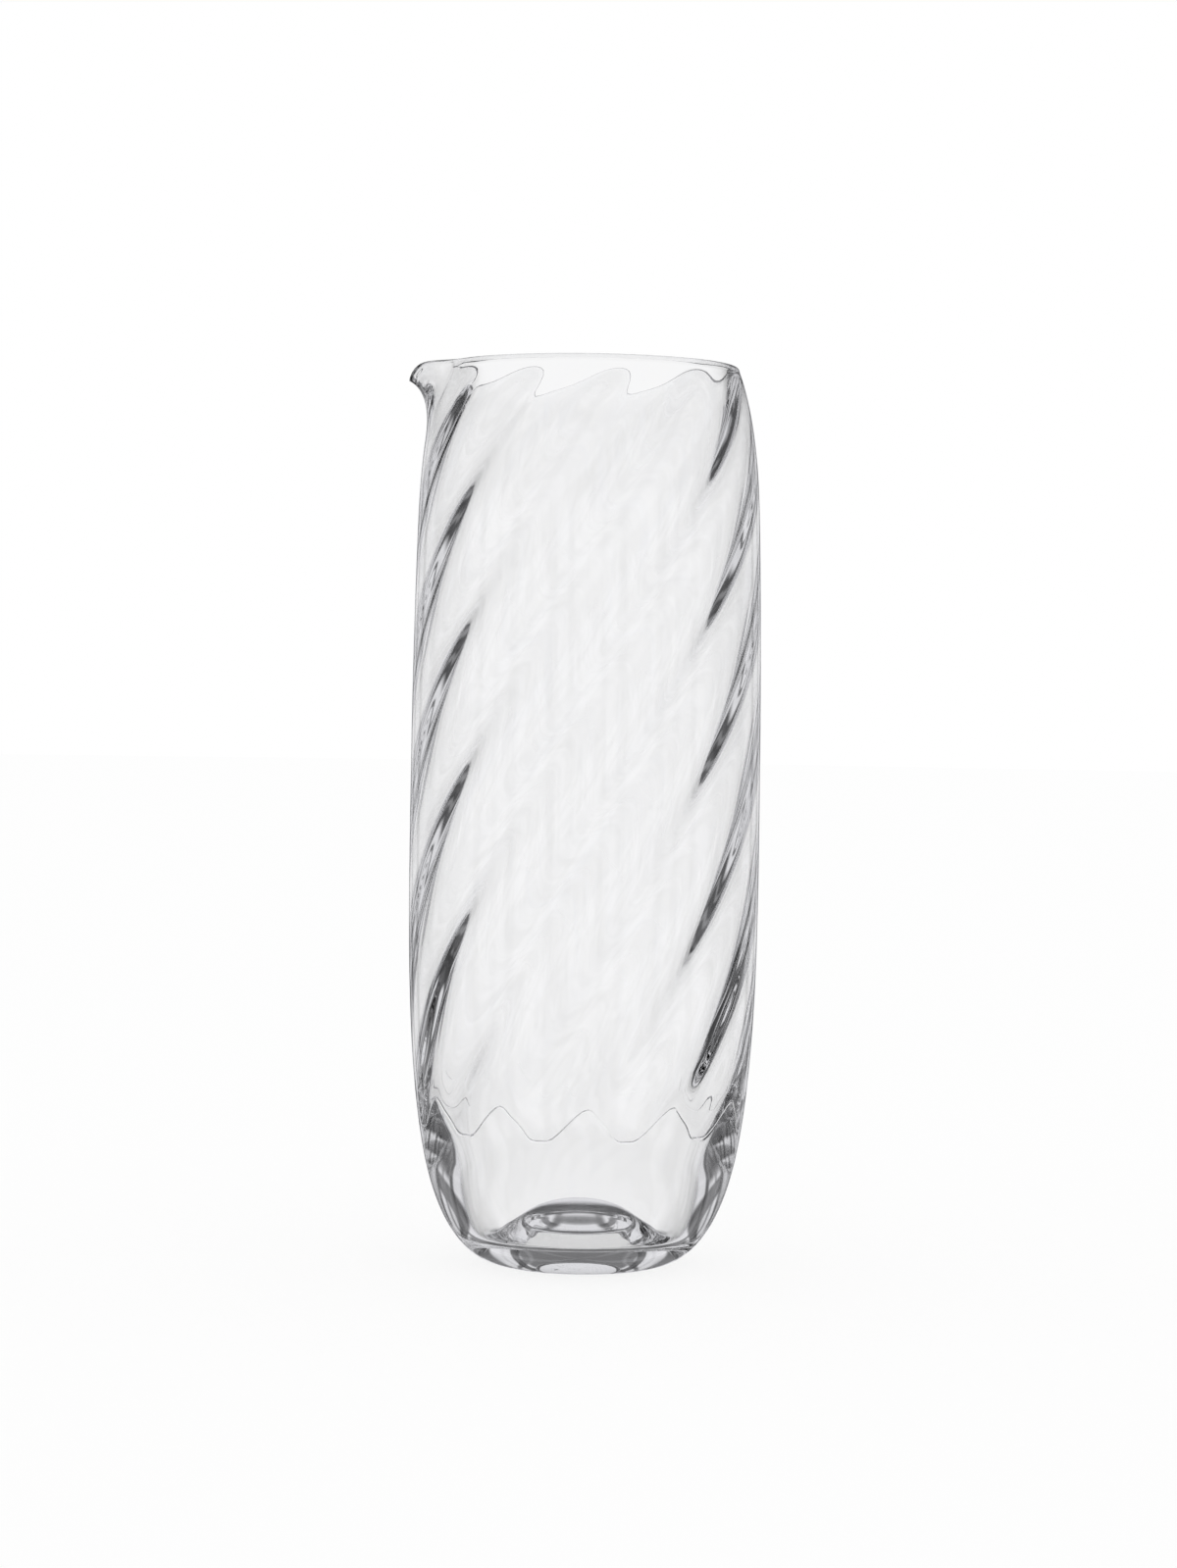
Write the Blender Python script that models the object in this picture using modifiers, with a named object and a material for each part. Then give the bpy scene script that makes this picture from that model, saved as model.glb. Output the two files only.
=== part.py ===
"""Clear blown-glass carafe: one vessel with twisted ribs inside and a lip pulled from its rim."""

import math

import bpy
from mathutils import Vector
from mathutils.geometry import interpolate_bezier

# Driving dimensions, in metres and radians. The origin is at the middle of the foot, and +Z is up.
HEIGHT = 0.244
FOOT_RADIUS = 0.0205
FOOT_RING = 0.0025
HEEL_HEIGHT = 0.030
HEEL_RADIUS = 0.0427
BELLY_HEIGHT = 0.108
BELLY_RADIUS = 0.0476
SHOULDER_HEIGHT = 0.203
SHOULDER_RADIUS = 0.0464
RIM_RADIUS = 0.0403

# Lean of the two faces at those stations, outwards for each metre of climb.
HEEL_SLOPE = 0.20
HEEL_INNER_SLOPE = 0.36
WAIST_SLOPE = 0.083
SHOULDER_SLOPE = -0.031
RIM_SLOPE = -0.374

# Reach of the curve handles between the stations.
FOOT_PULL = 0.012
HEEL_DROP = 0.016
HEEL_CLIMB = 0.020
BELLY_DROP = 0.030
BELLY_CLIMB = 0.038
SHOULDER_DROP = 0.029
SHOULDER_CLIMB = 0.0147
RIM_DROP = 0.0107

# Glass thickness at the stations, and the inner face where the ribs grow out of the heel.
RIM_WALL = 0.0026
SHOULDER_WALL = 0.0027
BELLY_WALL = 0.0028
HEEL_WALL = 0.0071
WAIST_HEIGHT = 0.060
WAIST_INNER_RADIUS = 0.0421
HEEL_INNER_DROP = 0.009
HEEL_INNER_CLIMB = 0.014
WAIST_DROP = 0.013
WAIST_CLIMB = 0.016

# Base: a floor pushed up from below, with a trough round it and a hollow under it.
FLOOR_HEIGHT = 0.0168
FLOOR_FLAT = 0.0125
DOME_RADIUS = 0.0192
DOME_HEIGHT = 0.0124
DOME_SLOPE = -0.5
DOME_PULL = 0.006
DOME_DROP = 0.0025
TROUGH_RADIUS = 0.0262
TROUGH_HEIGHT = 0.0092
TROUGH_DROP = 0.0035
TROUGH_CLIMB = 0.0035
HOLLOW_DEPTH = 0.0090
HOLLOW_FLAT = 0.0105

# Ribs: pressed into the inner face, then twisted with the hot glass, tighter towards the rim.
RIB_COUNT = 11
RIB_DEPTH = 0.0019
RIB_SHARPNESS = 0.11
RIB_FULL = 0.075
RIB_TOP_SHARE = 0.60
RIB_END_FADE = 0.012
TWIST = math.radians(199.6)
TWIST_TIGHTENING = 0.17
RIB_ANGLE_AT_RIM = math.radians(24.2)

# Lower end of the ribs: a scalloped line above the heel, one scallop to a rib.
SCALLOP_HEIGHT = 0.0412
SCALLOP_SWING = 0.0043
SCALLOP_REACH = 0.0125
SCALLOP_STEP = 0.0005
SCALLOP_PHASE = math.radians(65.9)
SCALLOP_LEAN = 0.593
SCALLOP_SHARPNESS = 0.28

# Pouring lip, pulled out and down from the rim.
LIP_ANGLE = math.radians(180)
LIP_HALF_WIDTH = math.radians(30)
LIP_DEPTH = 0.020
LIP_REACH = 0.0093
LIP_DROP = 0.0034
LIP_DROOP = 8
LIP_FLARE = 2.5

# Mesh fineness.
FACETS_PER_RIB = 6
RIM_STEPS = 4

GLASS_COLOUR = (0.93, 0.95, 0.95, 1.0)
GLASS_ROUGHNESS = 0.02
GLASS_IOR = 1.5


def clear_scene():
    """Removes every object, so that the script starts from an empty scene."""
    for obj in list(bpy.data.objects):
        bpy.data.objects.remove(obj)


def new_collection(name):
    """Adds a collection to the scene."""
    collection = bpy.data.collections.new(name)
    bpy.context.scene.collection.children.link(collection)
    return collection


def glass_material():
    """Clear, colourless glass."""
    material = bpy.data.materials.new("clear_glass")
    material.use_nodes = True
    shader = material.node_tree.nodes["Principled BSDF"]
    shader.inputs["Base Color"].default_value = GLASS_COLOUR
    shader.inputs["Roughness"].default_value = GLASS_ROUGHNESS
    shader.inputs["Metallic"].default_value = 0.0
    shader.inputs["IOR"].default_value = GLASS_IOR
    shader.inputs["Transmission Weight"].default_value = 1.0
    material.diffuse_color = (*GLASS_COLOUR[:3], 0.35)
    return material


def station(radius, height):
    """A point of the profile, which lies in the XZ plane at +X."""
    return Vector((radius, 0.0, height))


def level(length):
    """A handle that runs outwards by length."""
    return station(length, 0.0)


def rise(slope, length):
    """A handle that climbs by length, leaning outwards by slope."""
    return station(slope * length, length)


def curve(start, start_pull, end_pull, end, steps):
    """Points along a Bezier curve, with its start and without its end."""
    return interpolate_bezier(start, start + start_pull, end - end_pull, end, steps + 1)[:-1]


def floor_profile():
    """The inside of the base, from its raised middle over the edge of the dome and down into the trough."""
    middle = station(0.0, FLOOR_HEIGHT)
    dome = station(DOME_RADIUS, DOME_HEIGHT)
    trough = station(TROUGH_RADIUS, TROUGH_HEIGHT)
    over = station(1.0, DOME_SLOPE)
    points = curve(middle, level(FLOOR_FLAT), over * DOME_PULL, dome, 6)
    points += curve(dome, over * DOME_DROP, level(TROUGH_DROP), trough, 3)
    return points


def wall_profile():
    """The inner face, from the trough up to the rim."""
    trough = station(TROUGH_RADIUS, TROUGH_HEIGHT)
    heel = station(HEEL_RADIUS - HEEL_WALL, HEEL_HEIGHT)
    waist = station(WAIST_INNER_RADIUS, WAIST_HEIGHT)
    belly = station(BELLY_RADIUS - BELLY_WALL, BELLY_HEIGHT)
    shoulder = station(SHOULDER_RADIUS - SHOULDER_WALL, SHOULDER_HEIGHT)
    rim = station(RIM_RADIUS - RIM_WALL, HEIGHT - RIM_WALL / 2)
    heel_drop = rise(HEEL_INNER_SLOPE, HEEL_INNER_DROP)
    heel_climb = rise(HEEL_INNER_SLOPE, HEEL_INNER_CLIMB)
    waist_drop = rise(WAIST_SLOPE, WAIST_DROP)
    waist_climb = rise(WAIST_SLOPE, WAIST_CLIMB)
    shoulder_drop = rise(SHOULDER_SLOPE, SHOULDER_DROP)
    shoulder_climb = rise(SHOULDER_SLOPE, SHOULDER_CLIMB)
    points = curve(trough, level(TROUGH_CLIMB), heel_drop, heel, 5)
    points += curve(heel, heel_climb, waist_drop, waist, 16)
    points += curve(waist, waist_climb, rise(0.0, BELLY_DROP), belly, 4)
    points += curve(belly, rise(0.0, BELLY_CLIMB), shoulder_drop, shoulder, 9)
    points += curve(shoulder, shoulder_climb, rise(RIM_SLOPE, RIM_DROP), rim, 8)
    return points


def rim_profile():
    """The fire-polished edge: a half round from the inner face over to the outer one."""
    middle = station(RIM_RADIUS - RIM_WALL / 2, HEIGHT - RIM_WALL / 2)
    turns = [math.pi * (1 - step / RIM_STEPS) for step in range(RIM_STEPS)]
    return [middle + station(math.cos(turn), math.sin(turn)) * RIM_WALL / 2 for turn in turns]


def outer_profile():
    """The outer face, from the rim down to the foot."""
    rim = station(RIM_RADIUS, HEIGHT - RIM_WALL / 2)
    shoulder = station(SHOULDER_RADIUS, SHOULDER_HEIGHT)
    belly = station(BELLY_RADIUS, BELLY_HEIGHT)
    heel = station(HEEL_RADIUS, HEEL_HEIGHT)
    foot = station(FOOT_RADIUS, 0.0)
    shoulder_climb = rise(SHOULDER_SLOPE, SHOULDER_CLIMB)
    shoulder_drop = rise(SHOULDER_SLOPE, SHOULDER_DROP)
    points = curve(rim, -rise(RIM_SLOPE, RIM_DROP), -shoulder_climb, shoulder, 8)
    points += curve(shoulder, -shoulder_drop, -rise(0.0, BELLY_CLIMB), belly, 4)
    points += curve(belly, -rise(0.0, BELLY_DROP), -rise(HEEL_SLOPE, HEEL_CLIMB), heel, 4)
    points += curve(heel, -rise(HEEL_SLOPE, HEEL_DROP), -level(FOOT_PULL), foot, 7)
    return points


def foot_profile():
    """The flat standing ring and the hollow inside it."""
    ring = station(FOOT_RADIUS - FOOT_RING, 0.0)
    flat = station(HOLLOW_FLAT, HOLLOW_DEPTH)
    pull = level((HOLLOW_FLAT - ring.x) / 3)
    points = [station(FOOT_RADIUS, 0.0)]
    points += curve(ring, pull, pull, flat, 6)
    return points + [flat, station(0.0, HOLLOW_DEPTH)]


def smooth_step(share):
    """Eases from 0 to 1 as share goes from 0 to 1."""
    share = min(max(share, 0.0), 1.0)
    return share * share * (3 - 2 * share)


def rib_depth(height):
    """How far the ribs stand at a height: full at the heel, fading to the rim."""
    spent = smooth_step((height - RIB_FULL) / (HEIGHT - RIB_FULL))
    ended = smooth_step((HEIGHT - RIM_WALL / 2 - height) / RIB_END_FADE)
    return RIB_DEPTH / 2 * (1 - (1 - RIB_TOP_SHARE) * spent) * ended


def scallop(turn):
    """How far the ribs' lower end swings up or down, at a turn of the rib's wave."""
    lean = math.remainder(turn - SCALLOP_PHASE, math.tau)
    lean -= SCALLOP_LEAN * (1 - math.cos(lean))
    return SCALLOP_SWING * (math.cos(lean) + SCALLOP_SHARPNESS * math.cos(2 * lean))


def twist_angle(height):
    """How far the ribs have turned about +Z at a height."""
    share = height / HEIGHT
    return TWIST * (share + TWIST_TIGHTENING * share * (share - 1))


def radius_on(wall, height):
    """The radius of the smooth inner face at a height."""
    for low, high in zip(wall, wall[1:]):
        if height <= high.z:
            break
    return low.x + (high.x - low.x) * (height - low.z) / (high.z - low.z)


def turned_mesh(profile, inside):
    """Turns the profile about Z. Whether a point is on the inner face is kept as an attribute."""
    mesh = bpy.data.meshes.new("profile")
    mesh.from_pydata(profile, [(i, i + 1) for i in range(len(profile) - 1)], [])
    mesh.attributes.new("inside", "FLOAT", "POINT").data.foreach_set("value", inside)
    blank = bpy.data.objects.new("profile", mesh)
    bpy.context.scene.collection.objects.link(blank)
    screw = blank.modifiers.new("turn", "SCREW")
    screw.steps = RIB_COUNT * FACETS_PER_RIB
    screw.render_steps = screw.steps
    screw.use_merge_vertices = True
    screw.merge_threshold = 0.0001
    graph = bpy.context.evaluated_depsgraph_get()
    turned = bpy.data.meshes.new_from_object(blank.evaluated_get(graph))
    bpy.data.objects.remove(blank)
    return turned


def press_and_twist_ribs(mesh, wall):
    """Waves the inner face above a scalloped line, and winds its rings back from the rim by the twist."""
    inside = mesh.attributes["inside"].data
    for vertex in mesh.vertices:
        height = vertex.co.z
        radius = math.hypot(vertex.co.x, vertex.co.y)
        angle = math.atan2(vertex.co.y, vertex.co.x)
        if inside[vertex.index].value > 0:
            turn = RIB_COUNT * angle + math.pi
            wave = math.cos(turn) - RIB_SHARPNESS * math.cos(2 * turn)
            above = height - SCALLOP_HEIGHT
            grown = 0.5 + 0.5 * math.tanh(above / SCALLOP_STEP / 2)
            if abs(above) < SCALLOP_REACH:
                height += smooth_step(1 - abs(above) / SCALLOP_REACH) * scallop(turn)
                radius = radius_on(wall, height)
            radius += rib_depth(height) * grown * wave
            angle += twist_angle(height) - TWIST
        angle += RIB_ANGLE_AT_RIM
        vertex.co = (radius * math.cos(angle), radius * math.sin(angle), height)


def pull_lip(mesh):
    """Draws the rim outwards and down on one side, with the wall below it following."""
    top = HEIGHT - RIM_WALL / 2
    for vertex in mesh.vertices:
        lift = (min(vertex.co.z, top) - (top - LIP_DEPTH)) / LIP_DEPTH
        angle = math.atan2(vertex.co.y, vertex.co.x)
        turned = math.remainder(angle - LIP_ANGLE, math.tau) / LIP_HALF_WIDTH
        if lift <= 0 or abs(turned) >= 1:
            continue
        share = math.cos(turned * math.pi / 2) ** 2
        radius = math.hypot(vertex.co.x, vertex.co.y)
        stretch = 1 + LIP_REACH * share * lift**LIP_FLARE / radius
        vertex.co.x *= stretch
        vertex.co.y *= stretch
        vertex.co.z -= LIP_DROP * share**LIP_DROOP * lift**4


def build_glass_body(collection):
    """The carafe itself, one piece of glass."""
    floor = floor_profile()
    wall = wall_profile()
    rest = rim_profile() + outer_profile() + foot_profile()
    inside = [1.0] * len(floor + wall) + [0.0] * len(rest)
    mesh = turned_mesh(floor + wall + rest, inside)
    press_and_twist_ribs(mesh, wall)
    pull_lip(mesh)
    mesh.name = "glass_body"
    mesh.shade_smooth()
    mesh.materials.append(glass_material())
    body = bpy.data.objects.new("glass_body", mesh)
    collection.objects.link(body)
    return body


def main():
    clear_scene()
    build_glass_body(new_collection("glass_carafe"))


main()
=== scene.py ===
"""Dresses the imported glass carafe: the vessel at full fineness, its glass and a plain white studio."""

from __future__ import annotations

import logging
import math
from dataclasses import dataclass, field
from enum import Enum

import bpy
import numpy as np
from mathutils import Matrix, Vector
from mathutils.geometry import interpolate_bezier


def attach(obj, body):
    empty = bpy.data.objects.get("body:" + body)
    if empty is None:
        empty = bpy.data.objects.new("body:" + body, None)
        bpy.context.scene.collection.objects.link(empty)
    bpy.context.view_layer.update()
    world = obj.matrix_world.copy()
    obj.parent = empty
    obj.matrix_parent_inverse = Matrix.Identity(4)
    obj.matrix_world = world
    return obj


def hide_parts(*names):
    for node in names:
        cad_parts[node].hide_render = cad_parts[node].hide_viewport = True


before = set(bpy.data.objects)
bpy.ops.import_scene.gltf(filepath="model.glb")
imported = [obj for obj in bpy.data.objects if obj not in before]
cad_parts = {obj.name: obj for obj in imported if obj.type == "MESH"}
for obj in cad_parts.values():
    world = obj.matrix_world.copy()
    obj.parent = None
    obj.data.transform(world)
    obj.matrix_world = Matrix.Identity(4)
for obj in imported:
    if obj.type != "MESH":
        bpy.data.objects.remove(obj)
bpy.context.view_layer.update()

log = logging.getLogger("carafe")

# Points nearer than this, in metres, are one point
MERGE_DISTANCE = 1e-6
# One matt bounce outweighs this many mirrored ones
SCATTERED_WEIGHT = 100.0


class Operation(Enum):
    """What a Math node works out."""

    ADD = "ADD"
    SUBTRACT = "SUBTRACT"
    MULTIPLY = "MULTIPLY"
    BELOW = "LESS_THAN"
    LARGER = "MAXIMUM"
    BEARING = "ARCTAN2"
    FOLD = "PINGPONG"


def smooth_step(share: np.ndarray) -> np.ndarray:
    """Eases from 0 to 1.

    Args:
        share: How far along, where 0 is the start and 1 the end.

    Returns:
        The eased share, held at 0 before the start and at 1 after the end.
    """
    share = np.clip(share, 0.0, 1.0)
    return share * share * (3.0 - 2.0 * share)


def station(radius: float, height: float) -> Vector:
    """Returns a point of the profile, which lies in the XZ plane at +X."""
    return Vector((radius, 0.0, height))


def level(length: float) -> Vector:
    """Returns a curve handle that runs outwards by a length."""
    return station(length, 0.0)


def rise(slope: float, length: float) -> Vector:
    """Returns a curve handle that climbs by a length and leans outwards by a slope."""
    return station(slope * length, length)


def curve(start: Vector, start_pull: Vector, end_pull: Vector, end: Vector, steps: int) -> list[Vector]:
    """Draws one stretch of the profile.

    Args:
        start: Where the stretch starts.
        start_pull: Its handle there.
        end_pull: Its handle at the end.
        end: Where it ends.
        steps: How many steps it is drawn in.

    Returns:
        The points of the stretch, with its start and without its end.
    """
    return interpolate_bezier(start, start + start_pull, end - end_pull, end, steps + 1)[:-1]


class Shade:
    """A value that shader nodes work out, so that shader maths reads as Python."""

    def __init__(self, bench: NodeBench, socket: bpy.types.NodeSocket) -> None:
        """Wraps a socket.

        Args:
            bench: The bench that adds nodes to the socket's tree.
            socket: The output socket that carries the value.
        """
        self.bench = bench
        self.socket = socket

    def maths(self, operation: Operation, left: Shade | float, right: Shade | float) -> Shade:
        """Adds a Math node.

        Args:
            operation: The node's operation.
            left: Its first value.
            right: Its second value.

        Returns:
            The node's result.
        """
        made = self.bench.node("ShaderNodeMath", {"operation": operation.value}, {0: left, 1: right})
        return Shade(self.bench, made.outputs[0])

    def __add__(self, other: Shade | float) -> Shade:
        """Returns this value plus another."""
        return self.maths(Operation.ADD, self, other)

    def __radd__(self, other: float) -> Shade:
        """Returns a number plus this value."""
        return self.maths(Operation.ADD, other, self)

    def __sub__(self, other: Shade | float) -> Shade:
        """Returns this value less another."""
        return self.maths(Operation.SUBTRACT, self, other)

    def __rsub__(self, other: float) -> Shade:
        """Returns a number less this value."""
        return self.maths(Operation.SUBTRACT, other, self)

    def __mul__(self, other: Shade | float) -> Shade:
        """Returns this value times another."""
        return self.maths(Operation.MULTIPLY, self, other)

    def __rmul__(self, other: float) -> Shade:
        """Returns a number times this value."""
        return self.maths(Operation.MULTIPLY, other, self)

    def __lt__(self, other: Shade | float) -> Shade:
        """Returns 1 where this value is below another, and 0 elsewhere."""
        return self.maths(Operation.BELOW, self, other)

    def at_least(self, other: Shade | float) -> Shade:
        """Returns the larger of this value and another."""
        return self.maths(Operation.LARGER, self, other)

    def ramp(self, start: float, end: float) -> Shade:
        """Eases from 0 to 1 as this value goes from one number to another.

        Args:
            start: The value at which the result is 0.
            end: The value at which the result is 1.

        Returns:
            The eased value.
        """
        made = self.bench.node(
            "ShaderNodeMapRange",
            {"interpolation_type": "SMOOTHSTEP"},
            {"Value": self, "From Min": start, "From Max": end},
        )
        return Shade(self.bench, made.outputs["Result"])


class NodeBench:
    """Adds nodes to one node tree."""

    def __init__(self, tree: bpy.types.NodeTree) -> None:
        """Takes over a node tree and empties it.

        Args:
            tree: The tree of a material or of the world.
        """
        self.tree = tree
        tree.nodes.clear()

    def node(self, kind: str, settings: dict | None = None, sockets: dict | None = None) -> bpy.types.Node:
        """Adds a node.

        Args:
            kind: The node's type.
            settings: Its own settings, which are set first.
            sockets: A value, a socket or a Shade for each of its inputs.

        Returns:
            The new node.
        """
        made = self.tree.nodes.new(kind)
        for name, value in (settings or {}).items():
            setattr(made, name, value)
        for name, value in (sockets or {}).items():
            if isinstance(value, Shade):
                value = value.socket
            if isinstance(value, bpy.types.NodeSocket):
                self.tree.links.new(value, made.inputs[name])
            else:
                made.inputs[name].default_value = value
        return made

    def shade(self, made: bpy.types.Node, output: str | int = 0) -> Shade:
        """Returns one of a node's outputs as a value to calculate with."""
        return Shade(self, made.outputs[output])

    def unmirrored(self, path: bpy.types.Node) -> Shade:
        """Tells light that glass has mirrored from all other light.

        Args:
            path: The tree's Light Path node.

        Returns:
            0 where glass has mirrored the light and nothing matt has scattered it, and 1 elsewhere.
        """
        mirrored = self.shade(path, "Glossy Depth") - SCATTERED_WEIGHT * self.shade(path, "Diffuse Depth")
        return mirrored < 0.5


@dataclass(frozen=True)
class ClearGlass:
    """Clear, colourless, fire-polished glass with the faint drawn streaks of blown ware."""

    name: str = "clear_glass"
    colour: tuple[float, float, float] = (0.998, 0.998, 1.0)
    streak_colour: tuple[float, float, float] = (0.990, 0.992, 1.0)
    refraction: float = 1.5
    winding: float = 14.3
    streak_squeeze: float = 0.10
    streak_scale: float = 190.0
    streak_detail: float = 2.0
    streak_distortion: float = 0.3
    streak_range: tuple[float, float] = (0.50, 0.72)
    streak_height: float = 0.0000014
    smear_scale: float = 34.0
    smear_detail: float = 4.0
    smear_range: tuple[float, float] = (0.52, 0.74)
    smear_roughness: float = 0.02

    def material(self) -> bpy.types.Material:
        """Returns a new material of this glass, with streaks that wind as the ribs do and faint smears."""
        material = bpy.data.materials.new(self.name)
        material.use_nodes = True
        bench = NodeBench(material.node_tree)
        place = bench.node("ShaderNodeTexCoord").outputs["Object"]
        height = bench.shade(bench.node("ShaderNodeSeparateXYZ", None, {0: place}), "Z")
        unwound = bench.node(
            "ShaderNodeVectorRotate",
            {"rotation_type": "Z_AXIS"},
            {"Vector": place, "Angle": -self.winding * height},
        )
        drawn = bench.node(
            "ShaderNodeVectorMath",
            {"operation": "MULTIPLY"},
            {0: unwound.outputs[0], 1: (1.0, 1.0, self.streak_squeeze)},
        )
        streaks = bench.node(
            "ShaderNodeTexNoise",
            None,
            {
                "Vector": drawn.outputs[0],
                "Scale": self.streak_scale,
                "Detail": self.streak_detail,
                "Distortion": self.streak_distortion,
            },
        )
        smears = bench.node(
            "ShaderNodeTexNoise",
            None,
            {"Vector": place, "Scale": self.smear_scale, "Detail": self.smear_detail},
        )
        # The Mix node's colours are its inputs 6 and 7 and its output 2
        tint = bench.node(
            "ShaderNodeMix",
            {"data_type": "RGBA"},
            {
                0: bench.shade(streaks).ramp(*self.streak_range),
                6: (*self.colour, 1.0),
                7: (*self.streak_colour, 1.0),
            },
        )
        wave = bench.node(
            "ShaderNodeBump",
            None,
            {"Distance": self.streak_height, "Height": bench.shade(streaks)},
        )
        glass = bench.node(
            "ShaderNodeBsdfPrincipled",
            None,
            {
                "Base Color": tint.outputs[2],
                "Roughness": self.smear_roughness * bench.shade(smears).ramp(*self.smear_range),
                "Normal": wave.outputs[0],
                "IOR": self.refraction,
                "Transmission Weight": 1.0,
            },
        )
        bench.node("ShaderNodeOutputMaterial", None, {"Surface": glass.outputs[0]})
        return material


@dataclass(frozen=True)
class PaleFloor:
    """A plain white table that keeps a faint shadow."""

    name: str = "pale_floor"
    colour: tuple[float, float, float] = (0.97, 0.97, 0.97)
    white_share: float = 0.85
    glass_share: float = 0.60
    glass_tone: float = 0.97

    def material(self) -> bpy.types.Material:
        """Returns a new material of this floor, which what the glass mirrors passes through."""
        material = bpy.data.materials.new(self.name)
        material.use_nodes = True
        bench = NodeBench(material.node_tree)
        path = bench.node("ShaderNodeLightPath")
        through = bench.shade(path, "Is Transmission Ray").at_least(bench.shade(path, "Is Glossy Ray"))
        seen = self.white_share * bench.shade(path, "Is Camera Ray") + self.glass_share * through
        matt = bench.node("ShaderNodeBsdfDiffuse", None, {"Color": (*self.colour, 1.0)})
        glow = self.glass_tone + (1.0 - self.glass_tone) * bench.shade(path, "Is Camera Ray")
        white = bench.node("ShaderNodeEmission", None, {"Color": glow, "Strength": 1.0})
        table = bench.node("ShaderNodeMixShader", None, {0: seen, 1: matt.outputs[0], 2: white.outputs[0]})
        clear = bench.node("ShaderNodeBsdfTransparent")
        both = bench.node(
            "ShaderNodeMixShader",
            None,
            {0: bench.unmirrored(path), 1: clear.outputs[0], 2: table.outputs[0]},
        )
        bench.node("ShaderNodeOutputMaterial", None, {"Surface": both.outputs[0]})
        return material


@dataclass
class TwistedRibs:
    """The ribs of the inner face: pressed by a mould, then twisted with the hot glass."""

    count: int = 11
    depth: float = 0.0019
    sharpness: float = 0.11
    full_height: float = 0.075
    top_share: float = 0.76
    end_fade: float = 0.012
    twist: float = math.radians(199.6)
    tightening: float = 0.17
    angle_at_rim: float = math.radians(24.2)
    line_height: float = 0.0412
    line_swing: float = 0.0043
    line_reach: float = 0.0125
    line_step: float = 0.0005
    line_phase: float = math.radians(65.9)
    line_lean: float = 0.593
    line_sharpness: float = 0.28
    ledge_share: float = 0.15
    growth: float = 0.018
    ridge: float = 0.00023
    ridge_width: float = 0.0002

    def wave(self, turn: np.ndarray) -> np.ndarray:
        """Returns the ribs' own section at a turn of their wave, 0 in the middle of a hollow."""
        return np.cos(turn) - self.sharpness * np.cos(2 * turn)

    def stand(self, height: np.ndarray, top: float) -> np.ndarray:
        """Says how far the ribs stand.

        Args:
            height: Heights on the inner face.
            top: The height at which the ribs have run out.

        Returns:
            Half the depth of the ribs at those heights.
        """
        spent = smooth_step((height - self.full_height) / (top - self.full_height))
        ended = smooth_step((top - height) / self.end_fade)
        return self.depth / 2 * (1 - (1 - self.top_share) * spent) * ended

    def scallop(self, turn: np.ndarray) -> np.ndarray:
        """Returns how far the ribs' lower end swings up or down at a turn of their wave."""
        lean = np.remainder(turn - self.line_phase + math.pi, math.tau) - math.pi
        lean = lean - self.line_lean * (1 - np.cos(lean))
        return self.line_swing * (np.cos(lean) + self.line_sharpness * np.cos(2 * lean))

    def grown(self, above: np.ndarray) -> np.ndarray:
        """Returns how much of their depth the ribs have, at a height above their lower end."""
        ledge = 0.5 + 0.5 * np.tanh(above / self.line_step / 2)
        return ledge * (self.ledge_share + (1 - self.ledge_share) * smooth_step(above / self.growth))

    def wind(self, share: np.ndarray) -> np.ndarray:
        """Returns how far the ribs are wound back from the rim, at a share of the height."""
        return self.twist * (share + self.tightening * share * (share - 1) - 1)


@dataclass
class PouringLip:
    """The lip, drawn out and down from the rim."""

    angle: float = math.radians(180)
    half_width: float = math.radians(30)
    depth: float = 0.020
    reach: float = 0.0091
    drop: float = 0.0034
    flare: float = 2.5
    droop: float = 8.0
    droop_flare: float = 4.0

    def pull(self, coords: np.ndarray, top: float) -> np.ndarray:
        """Draws the lip.

        Args:
            coords: Points of the vessel, one in each row.
            top: The height of the rim's own centre line, above which the edge moves as one.

        Returns:
            The points where the lip has moved them.
        """
        lift = np.clip((np.minimum(coords[:, 2], top) - (top - self.depth)) / self.depth, 0.0, 1.0)
        radius = np.hypot(coords[:, 0], coords[:, 1])
        turned = np.arctan2(coords[:, 1], coords[:, 0]) - self.angle
        turned = (np.remainder(turned + math.pi, math.tau) - math.pi) / self.half_width
        share = np.cos(np.clip(turned, -1.0, 1.0) * math.pi / 2) ** 2
        stretch = 1 + self.reach * share * lift**self.flare / np.maximum(radius, MERGE_DISTANCE)
        return np.stack(
            [
                coords[:, 0] * stretch,
                coords[:, 1] * stretch,
                coords[:, 2] - self.drop * share**self.droop * lift**self.droop_flare,
            ],
            axis=1,
        )


@dataclass(frozen=True)
class Fineness:
    """How many rows and columns of faces the vessel is drawn in."""

    columns_per_rib: int = 22
    dome: int = 30
    trough: int = 12
    bowl: int = 30
    wall: tuple[int, ...] = (17, 15, 20, 74, 33)
    wall_samples: int = 200
    rim: int = 12
    shoulder: int = 26
    belly: int = 24
    heel: int = 24
    base: int = 40
    hollow: int = 30


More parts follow.
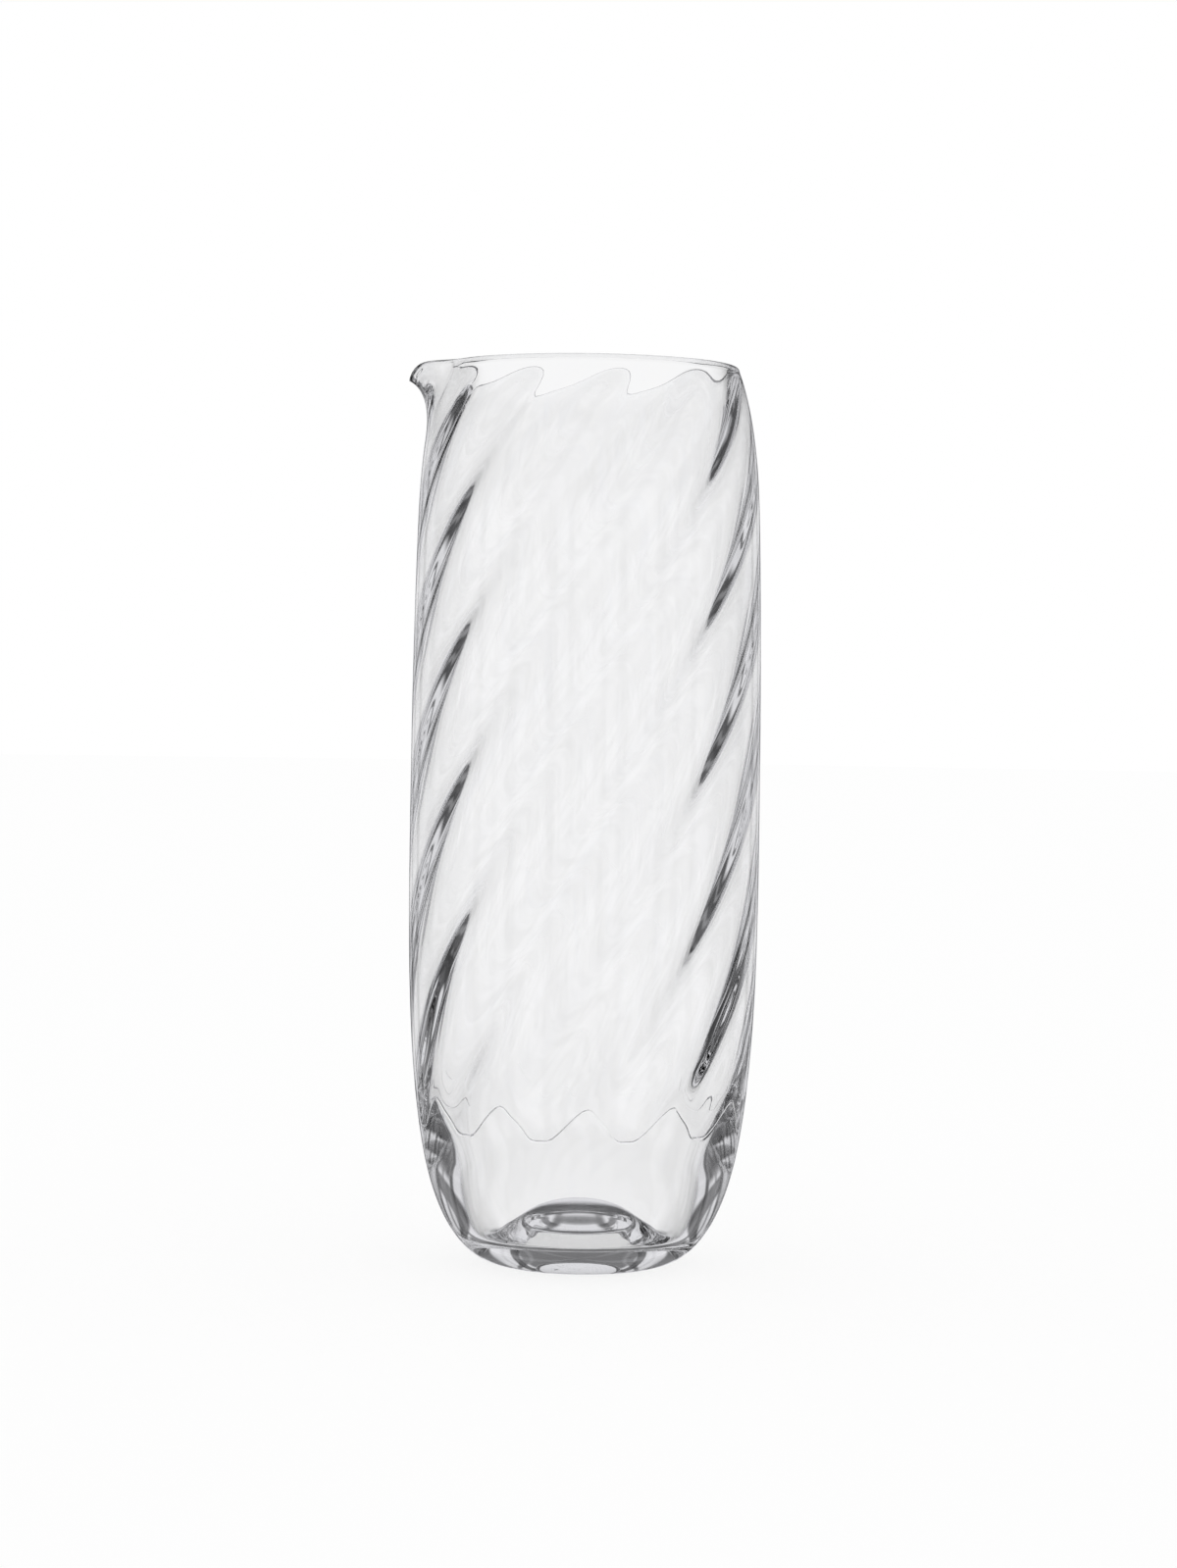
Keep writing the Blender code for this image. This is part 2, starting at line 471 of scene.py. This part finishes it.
@dataclass
class Vessel:
    """The carafe's one piece of glass."""

    name: str = "vessel"
    inner_group: str = "inner_face"
    height: float = 0.244
    foot_radius: float = 0.0205
    foot_ring: float = 0.0025
    heel_height: float = 0.030
    heel_radius: float = 0.0427
    belly_height: float = 0.108
    belly_radius: float = 0.0476
    shoulder_height: float = 0.203
    shoulder_radius: float = 0.0464
    rim_radius: float = 0.0403
    heel_slope: float = 0.20
    heel_inner_slope: float = 0.36
    waist_slope: float = 0.083
    shoulder_slope: float = -0.031
    rim_slope: float = -0.374
    foot_pull: float = 0.012
    heel_drop: float = 0.016
    heel_climb: float = 0.020
    belly_drop: float = 0.030
    belly_climb: float = 0.038
    shoulder_drop: float = 0.029
    shoulder_climb: float = 0.0147
    rim_drop: float = 0.0107
    rim_wall: float = 0.0026
    shoulder_wall: float = 0.0027
    belly_wall: float = 0.0028
    heel_wall: float = 0.0071
    waist_height: float = 0.060
    waist_inner_radius: float = 0.0421
    heel_inner_drop: float = 0.009
    heel_inner_climb: float = 0.014
    waist_drop: float = 0.013
    waist_climb: float = 0.016
    floor_height: float = 0.0168
    floor_flat: float = 0.0125
    dome_radius: float = 0.0192
    dome_height: float = 0.0124
    dome_slope: float = -0.5
    dome_pull: float = 0.006
    dome_drop: float = 0.0025
    trough_radius: float = 0.0262
    trough_height: float = 0.0092
    trough_drop: float = 0.0035
    trough_climb: float = 0.0035
    hollow_depth: float = 0.0090
    hollow_flat: float = 0.0125
    line_band: float = 0.001
    fine_top: float = 0.056
    rows: Fineness = field(default_factory=Fineness)
    ribs: TwistedRibs = field(default_factory=TwistedRibs)
    lip: PouringLip = field(default_factory=PouringLip)
    piece: bpy.types.Object | None = None

    @property
    def rim_centre(self) -> float:
        """The height of the middle of the rim's half round."""
        return self.height - self.rim_wall / 2

    def floor_profile(self) -> list[Vector]:
        """Returns the inside of the base, from its raised middle over the dome's edge into the trough."""
        middle = station(0.0, self.floor_height)
        edge = station(self.dome_radius, self.dome_height)
        trough = station(self.trough_radius, self.trough_height)
        over = station(1.0, self.dome_slope)
        points = curve(middle, level(self.floor_flat), over * self.dome_pull, edge, self.rows.dome)
        points += curve(edge, over * self.dome_drop, level(self.trough_drop), trough, self.rows.trough)
        return points

    def bowl_profile(self) -> list[Vector]:
        """Returns the inner face from the trough up to the heel."""
        trough = station(self.trough_radius, self.trough_height)
        heel = station(self.heel_radius - self.heel_wall, self.heel_height)
        drop = rise(self.heel_inner_slope, self.heel_inner_drop)
        return curve(trough, level(self.trough_climb), drop, heel, self.rows.bowl)

    def smooth_wall(self) -> tuple[np.ndarray, np.ndarray]:
        """Returns the heights and the radii of the inner face above the trough, before any rib."""
        heel = station(self.heel_radius - self.heel_wall, self.heel_height)
        waist = station(self.waist_inner_radius, self.waist_height)
        belly = station(self.belly_radius - self.belly_wall, self.belly_height)
        shoulder = station(self.shoulder_radius - self.shoulder_wall, self.shoulder_height)
        rim = station(self.rim_radius - self.rim_wall, self.rim_centre)
        heel_climb = rise(self.heel_inner_slope, self.heel_inner_climb)
        waist_drop = rise(self.waist_slope, self.waist_drop)
        waist_climb = rise(self.waist_slope, self.waist_climb)
        shoulder_drop = rise(self.shoulder_slope, self.shoulder_drop)
        shoulder_climb = rise(self.shoulder_slope, self.shoulder_climb)
        rim_drop = rise(self.rim_slope, self.rim_drop)
        samples = self.rows.wall_samples
        points = self.bowl_profile()
        points += curve(heel, heel_climb, waist_drop, waist, samples)
        points += curve(waist, waist_climb, rise(0.0, self.belly_drop), belly, samples)
        points += curve(belly, rise(0.0, self.belly_climb), shoulder_drop, shoulder, samples)
        points += curve(shoulder, shoulder_climb, rim_drop, rim, samples)
        points.append(rim)
        return np.array([point.z for point in points]), np.array([point.x for point in points])

    def wall_profile(self) -> list[Vector]:
        """Returns the inner face from the heel up to the rim, in finer rows along the ribs' lower end."""
        line = self.ribs.line_height
        stops = [self.heel_height, line - self.line_band, line + self.line_band, self.fine_top]
        stops += [self.shoulder_height, self.rim_centre]
        heights = np.concatenate(
            [
                np.linspace(low, high, rows, endpoint=False)
                for low, high, rows in zip(stops, stops[1:], self.rows.wall)
            ]
        )
        radii = np.interp(heights, *self.smooth_wall())
        return [station(radius, height) for radius, height in zip(radii, heights)]

    def rim_profile(self) -> list[Vector]:
        """Returns the fire-polished edge, a half round from the inner face over to the outer one."""
        middle = station(self.rim_radius - self.rim_wall / 2, self.rim_centre)
        turns = np.linspace(math.pi, 0.0, self.rows.rim, endpoint=False)
        return [middle + station(math.cos(turn), math.sin(turn)) * self.rim_wall / 2 for turn in turns]

    def outer_profile(self) -> list[Vector]:
        """Returns the outer face, from the rim down to the foot."""
        rim = station(self.rim_radius, self.rim_centre)
        shoulder = station(self.shoulder_radius, self.shoulder_height)
        belly = station(self.belly_radius, self.belly_height)
        heel = station(self.heel_radius, self.heel_height)
        foot = station(self.foot_radius, 0.0)
        shoulder_climb = rise(self.shoulder_slope, self.shoulder_climb)
        shoulder_drop = rise(self.shoulder_slope, self.shoulder_drop)
        heel_climb = rise(self.heel_slope, self.heel_climb)
        heel_drop = rise(self.heel_slope, self.heel_drop)
        rim_drop = rise(self.rim_slope, self.rim_drop)
        points = curve(rim, -rim_drop, -shoulder_climb, shoulder, self.rows.shoulder)
        points += curve(shoulder, -shoulder_drop, -rise(0.0, self.belly_climb), belly, self.rows.belly)
        points += curve(belly, -rise(0.0, self.belly_drop), -heel_climb, heel, self.rows.heel)
        points += curve(heel, -heel_drop, -level(self.foot_pull), foot, self.rows.base)
        return points

    def foot_profile(self) -> list[Vector]:
        """Returns the flat standing ring and the hollow inside it."""
        ring = station(self.foot_radius - self.foot_ring, 0.0)
        flat = station(self.hollow_flat, self.hollow_depth)
        pull = level((self.hollow_flat - ring.x) / 3)
        points = [station(self.foot_radius, 0.0), station(self.foot_radius - self.foot_ring / 2, 0.0)]
        points += curve(ring, pull, pull, flat, self.rows.hollow)
        points += [flat, station(self.hollow_flat / 2, self.hollow_depth)]
        return points + [station(0.0, self.hollow_depth)]

    def draw_profile(self, points: list[Vector]) -> bpy.types.Object:
        """Draws the profile by extruding one point from station to station.

        Args:
            points: The stations, from the middle of the floor round to the middle of the hollow.

        Returns:
            The object of the profile.
        """
        bpy.ops.object.select_all(action="DESELECT")
        bpy.ops.mesh.primitive_plane_add()
        piece = bpy.context.object
        piece.name = self.name
        piece.data.name = self.name
        bpy.ops.object.mode_set(mode="EDIT")
        bpy.ops.mesh.select_all(action="SELECT")
        bpy.ops.mesh.merge(type="CENTER")
        bpy.ops.transform.translate(value=points[0])
        for here, there in zip(points, points[1:]):
            bpy.ops.mesh.extrude_region_move(TRANSFORM_OT_translate={"value": there - here})
        bpy.ops.object.mode_set(mode="OBJECT")
        return piece

    def mark_inside(self, points: list[Vector]) -> None:
        """Puts the inner face in the piece's only vertex group, which the spin carries round.

        Args:
            points: The stations of the inner face.
        """
        mesh = self.piece.data
        drawn = np.array([vertex.co for vertex in mesh.vertices])
        apart = np.abs(drawn[:, None, :] - np.array(points)[None, :, :]).max(axis=2).min(axis=1)
        group = self.piece.vertex_groups.new(name=self.inner_group)
        group.add(np.flatnonzero(apart < MERGE_DISTANCE).tolist(), 1.0, "REPLACE")

    def spin_profile(self) -> None:
        """Spins the profile round the axis into a closed body of glass."""
        bpy.ops.object.mode_set(mode="EDIT")
        bpy.ops.mesh.select_all(action="SELECT")
        bpy.ops.mesh.spin(
            steps=self.ribs.count * self.rows.columns_per_rib,
            angle=math.tau,
            center=(0.0, 0.0, 0.0),
            axis=(0.0, 0.0, 1.0),
            use_auto_merge=True,
        )
        bpy.ops.mesh.select_all(action="SELECT")
        bpy.ops.mesh.remove_doubles(threshold=MERGE_DISTANCE)
        bpy.ops.mesh.normals_make_consistent(inside=False)
        bpy.ops.object.mode_set(mode="OBJECT")

    def press_and_twist(self) -> None:
        """Presses the ribs into the inner face, winds them back from the rim, and draws the lip."""
        ribs = self.ribs
        mesh = self.piece.data
        count = len(mesh.vertices)
        coords = np.empty(count * 3)
        mesh.vertices.foreach_get("co", coords)
        coords = coords.reshape(count, 3)
        inside = np.array([len(vertex.groups) > 0 for vertex in mesh.vertices])
        height = coords[:, 2].copy()
        radius = np.hypot(coords[:, 0], coords[:, 1])
        angle = np.arctan2(coords[:, 1], coords[:, 0])
        turn = ribs.count * angle + math.pi
        above = height - ribs.line_height
        swing = smooth_step(1 - np.abs(above) / ribs.line_reach) * ribs.scallop(turn)
        height = height + np.where(inside, swing, 0.0)
        near_line = inside & (np.abs(above) < ribs.line_reach)
        radius = np.where(near_line, np.interp(height, *self.smooth_wall()), radius)
        press = ribs.stand(height, self.rim_centre) * ribs.grown(above) * ribs.wave(turn)
        press -= ribs.ridge * np.exp(-((above / ribs.ridge_width) ** 2))
        radius = radius + np.where(inside, press, 0.0)
        angle = angle + np.where(inside, ribs.wind(height / self.height), 0.0) + ribs.angle_at_rim
        wound = np.stack([radius * np.cos(angle), radius * np.sin(angle), height], axis=1)
        wound = self.lip.pull(wound, self.rim_centre)
        mesh.vertices.foreach_set("co", wound.ravel())
        mesh.update()

    def build(self) -> bpy.types.Object:
        """Models the vessel.

        Returns:
            The finished object.
        """
        inside = self.floor_profile() + self.bowl_profile() + self.wall_profile()
        rest = self.rim_profile() + self.outer_profile() + self.foot_profile()
        self.piece = self.draw_profile(inside + rest)
        self.mark_inside(inside)
        self.spin_profile()
        self.press_and_twist()
        bpy.ops.object.shade_smooth()
        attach(self.piece, "root")
        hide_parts("glass_body")
        return self.piece

    def dress(self, glass: ClearGlass) -> None:
        """Gives the vessel its glass.

        Args:
            glass: The finish of the whole vessel.
        """
        self.piece.data.materials.append(glass.material())


@dataclass(frozen=True)
class ScreenGap:
    """An upright dark gap, by its angles from a white screen's middle. A negative depth is a light slit."""

    start: float
    end: float
    blur: float
    depth: float

    def darkness(self, side: Shade) -> Shade:
        """Returns how much the gap darkens the screen at an angle from its middle."""
        opened = side.ramp(self.start - self.blur, self.start + self.blur)
        closed = side.ramp(self.end - self.blur, self.end + self.blur)
        return self.depth * (opened - closed)


@dataclass
class Studio:
    """A white table with white screens round it, which stand in a dark room."""

    bounces: int = 24
    floor_radius: float = 6.0
    floor_corners: int = 96
    floor_gap: float = 0.0001
    room: float = 0.05
    screen: float = 0.78
    screen_spread: float = math.radians(144)
    screen_drop: float = 0.72
    screen_sides: tuple[float, float] = (math.radians(49), math.radians(59))
    screen_top: tuple[float, float] = (0.10, 0.17)
    above_screens: float = 0.92
    ceiling: tuple[float, float] = (0.38, 0.48)
    ceiling_tone: float = 0.80
    gaps: tuple[ScreenGap, ...] = (
        ScreenGap(math.radians(10), math.radians(16), math.radians(2), 0.60),
        ScreenGap(math.radians(23), math.radians(27), math.radians(1.5), 0.45),
        ScreenGap(math.radians(36), math.radians(41), math.radians(1.5), 0.62),
        ScreenGap(math.radians(64), math.radians(68), math.radians(1.5), -0.16),
    )
    under: tuple[float, float] = (-0.34, -0.42)
    under_sides: tuple[float, float] = (math.radians(40), math.radians(34))
    under_tone: float = 0.16
    edge_top: tuple[float, float] = (-0.17, -0.21)
    edge_bottom: tuple[float, float] = (-0.31, -0.35)
    edge_sides: tuple[float, float] = (math.radians(8), math.radians(14))
    edge_drop: float = 0.85
    through: float = 0.95
    cool: float = 0.97

    def set_bounces(self) -> None:
        """Lets light bounce often enough to pass through both walls of the glass."""
        cycles = bpy.context.scene.cycles
        cycles.max_bounces = self.bounces
        cycles.transmission_bounces = self.bounces
        cycles.glossy_bounces = self.bounces

    def build_floor(self, finish: PaleFloor) -> bpy.types.Object:
        """Lays the floor.

        Args:
            finish: The floor's finish.

        Returns:
            The floor.
        """
        bpy.ops.object.select_all(action="DESELECT")
        bpy.ops.mesh.primitive_circle_add(
            vertices=self.floor_corners,
            radius=self.floor_radius,
            fill_type="NGON",
            location=(0.0, 0.0, -self.floor_gap),
        )
        floor = bpy.context.object
        floor.name = "floor"
        floor.data.materials.append(finish.material())
        return floor

    def screens(self, across: Shade, along: Shade, up: Shade) -> Shade:
        """Works out the tone of the screens and the room, as the glass mirrors them.

        Args:
            across: The direction's share along X.
            along: Its share along Y.
            up: Its share along Z.

        Returns:
            The tone in that direction.
        """
        angle = across.maths(Operation.BEARING, across, along)
        side = angle.maths(Operation.FOLD, angle, self.screen_spread / 2)
        tone = self.screen - self.screen_drop * side.ramp(*self.screen_sides)
        for gap in self.gaps:
            tone = tone - gap.darkness(side)
        tone = tone * (1.0 - self.above_screens * up.ramp(*self.screen_top))
        tone = tone + up.ramp(*self.ceiling) * (self.ceiling_tone - tone)
        tone = tone + up.ramp(*self.under) * side.ramp(*self.under_sides) * (self.under_tone - tone)
        edge = (up.ramp(*self.edge_top) - up.ramp(*self.edge_bottom)) * side.ramp(*self.edge_sides)
        tone = tone * (1.0 - self.edge_drop * edge)
        return tone.at_least(self.room)

    def light(self) -> bpy.types.World:
        """Lights the studio evenly from all round.

        Returns:
            The world, white to the eye and through the glass, and in screens to what the glass mirrors.
        """
        world = bpy.data.worlds.new("studio")
        world.use_nodes = True
        bench = NodeBench(world.node_tree)
        path = bench.node("ShaderNodeLightPath")
        place = bench.node("ShaderNodeTexCoord")
        parts = bench.node("ShaderNodeSeparateXYZ", None, {0: place.outputs["Generated"]})
        unmirrored = bench.unmirrored(path)
        tone = self.screens(bench.shade(parts, "X"), bench.shade(parts, "Y"), bench.shade(parts, "Z"))
        seen = bench.shade(path, "Is Camera Ray")
        plain = self.through + (1.0 - self.through) * seen
        glow = tone + unmirrored * (plain - tone)
        warm = glow * (self.cool + (1.0 - self.cool) * unmirrored)
        colour = bench.node("ShaderNodeCombineColor", None, {"Red": warm, "Green": warm, "Blue": glow})
        light = bench.node("ShaderNodeBackground", None, {"Color": colour.outputs[0], "Strength": 1.0})
        bench.node("ShaderNodeOutputWorld", None, {"Surface": light.outputs[0]})
        bpy.context.scene.world = world
        return world


@dataclass(frozen=True)
class PhotoCamera:
    """The camera at the photograph's viewing angle."""

    distance: float = 0.95348
    height: float = 0.15844
    lens: float = 80.389
    pitch: float = 0.029174
    yaw: float = 0.000917
    roll: float = 0.014929
    clip_start: float = 0.01

    def build(self) -> bpy.types.Object:
        """Places the camera.

        Returns:
            The camera, set as the scene's own.
        """
        bpy.ops.object.select_all(action="DESELECT")
        bpy.ops.object.camera_add()
        camera = bpy.context.object
        camera.data.lens = self.lens
        camera.data.clip_start = self.clip_start
        place = Matrix.Translation((0.0, -self.distance, self.height))
        place = place @ Matrix.Rotation(-self.yaw, 4, "Z")
        place = place @ Matrix.Rotation(math.pi / 2 - self.pitch, 4, "X")
        camera.matrix_world = place @ Matrix.Rotation(self.roll, 4, "Z")
        bpy.context.scene.camera = camera
        return camera


def main() -> None:
    """Builds the carafe and its studio, and reports each piece."""
    logging.basicConfig(level=logging.INFO, format="%(message)s")
    bpy.context.scene.view_settings.view_transform = "Standard"
    camera = PhotoCamera().build()
    log.info("camera %s, lens %.1f mm", camera.name, camera.data.lens)
    vessel = Vessel()
    piece = vessel.build()
    vessel.dress(ClearGlass())
    log.info("vessel %s, %d faces", piece.name, len(piece.data.polygons))
    studio = Studio()
    studio.set_bounces()
    floor = studio.build_floor(PaleFloor())
    studio.light()
    log.info("floor %s, radius %.1f m", floor.name, studio.floor_radius)


if __name__ == "__main__":
    main()
